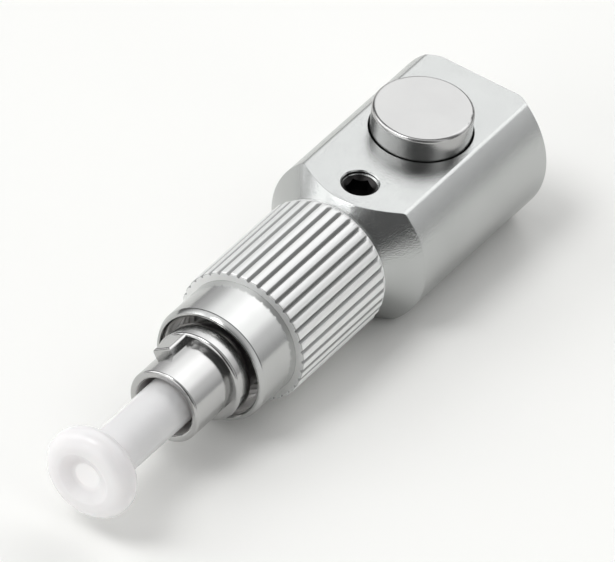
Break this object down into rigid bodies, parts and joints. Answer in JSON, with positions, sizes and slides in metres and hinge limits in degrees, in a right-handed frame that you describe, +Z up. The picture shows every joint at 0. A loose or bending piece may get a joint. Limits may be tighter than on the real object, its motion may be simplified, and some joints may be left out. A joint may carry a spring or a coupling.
{
  "type": "bare fibre adapter",
  "caption": "Metal bare fibre adapter: a push-button fibre clamp body with a knurled coupling nut, keyed plug sleeve, spring-loaded ferrule and push-on dust cap.",
  "frame": {"origin": "centre of the fibre entry hole on the rear face of the body", "axes": "+X along the fibre to the dust cap, +Z up through the push button, +Y completes a right-handed frame"},
  "size_m": [0.0486, 0.013, 0.012],
  "materials": {
    "body_nickel": "satin nickel plate",
    "button_nickel": "satin nickel plate",
    "nut_nickel": "bright nickel plate",
    "plug_nickel": "bright nickel plate",
    "spring_steel": "drawn wire and ground pin",
    "black_steel": "black oxide",
    "white_ceramic": "polished zirconia",
    "cap_plastic": "milky translucent polyethylene"
  },
  "bodies": {
    "adapter": {"adapter_body": "body_nickel", "stop_pin": "spring_steel", "set_screw": "black_steel", "connector_stem": "plug_nickel", "key_sleeve": "plug_nickel", "button_spring": "spring_steel", "ferrule_spring": "spring_steel"},
    "button": {"push_button": "button_nickel"},
    "ring": {"slip_ring": "spring_steel"},
    "nut": {"coupling_nut": "nut_nickel"},
    "ferrule": {"ferrule": "white_ceramic", "ferrule_holder": "plug_nickel"},
    "cap": {"dust_cap": "cap_plastic"}
  },
  "joints": [
    {"name": "button_press", "type": "slide", "parent": "adapter", "child": "button", "axis": [0, 0, -1], "range_m": [0, 0.001], "stiffness_N_per_m": 1500, "springref_m": -0.001, "deforming": ["button_spring"]},
    {"name": "nut_slide", "type": "slide", "parent": "adapter", "child": "ring", "axis": [1, 0, 0], "range_m": [0, 0.0045]},
    {"name": "nut_spin", "type": "hinge", "parent": "ring", "child": "nut", "pos_m": [0.026, 0, 0], "axis": [1, 0, 0], "continuous": true},
    {"name": "ferrule_float", "type": "slide", "parent": "adapter", "child": "ferrule", "axis": [-1, 0, 0], "range_m": [0, 0.0008], "stiffness_N_per_m": 1500, "springref_m": -0.003, "deforming": ["ferrule_spring"]},
    {"name": "cap_pull", "type": "slide", "parent": "ferrule", "child": "cap", "axis": [1, 0, 0], "range_m": [0, 0.0115]}
  ]
}
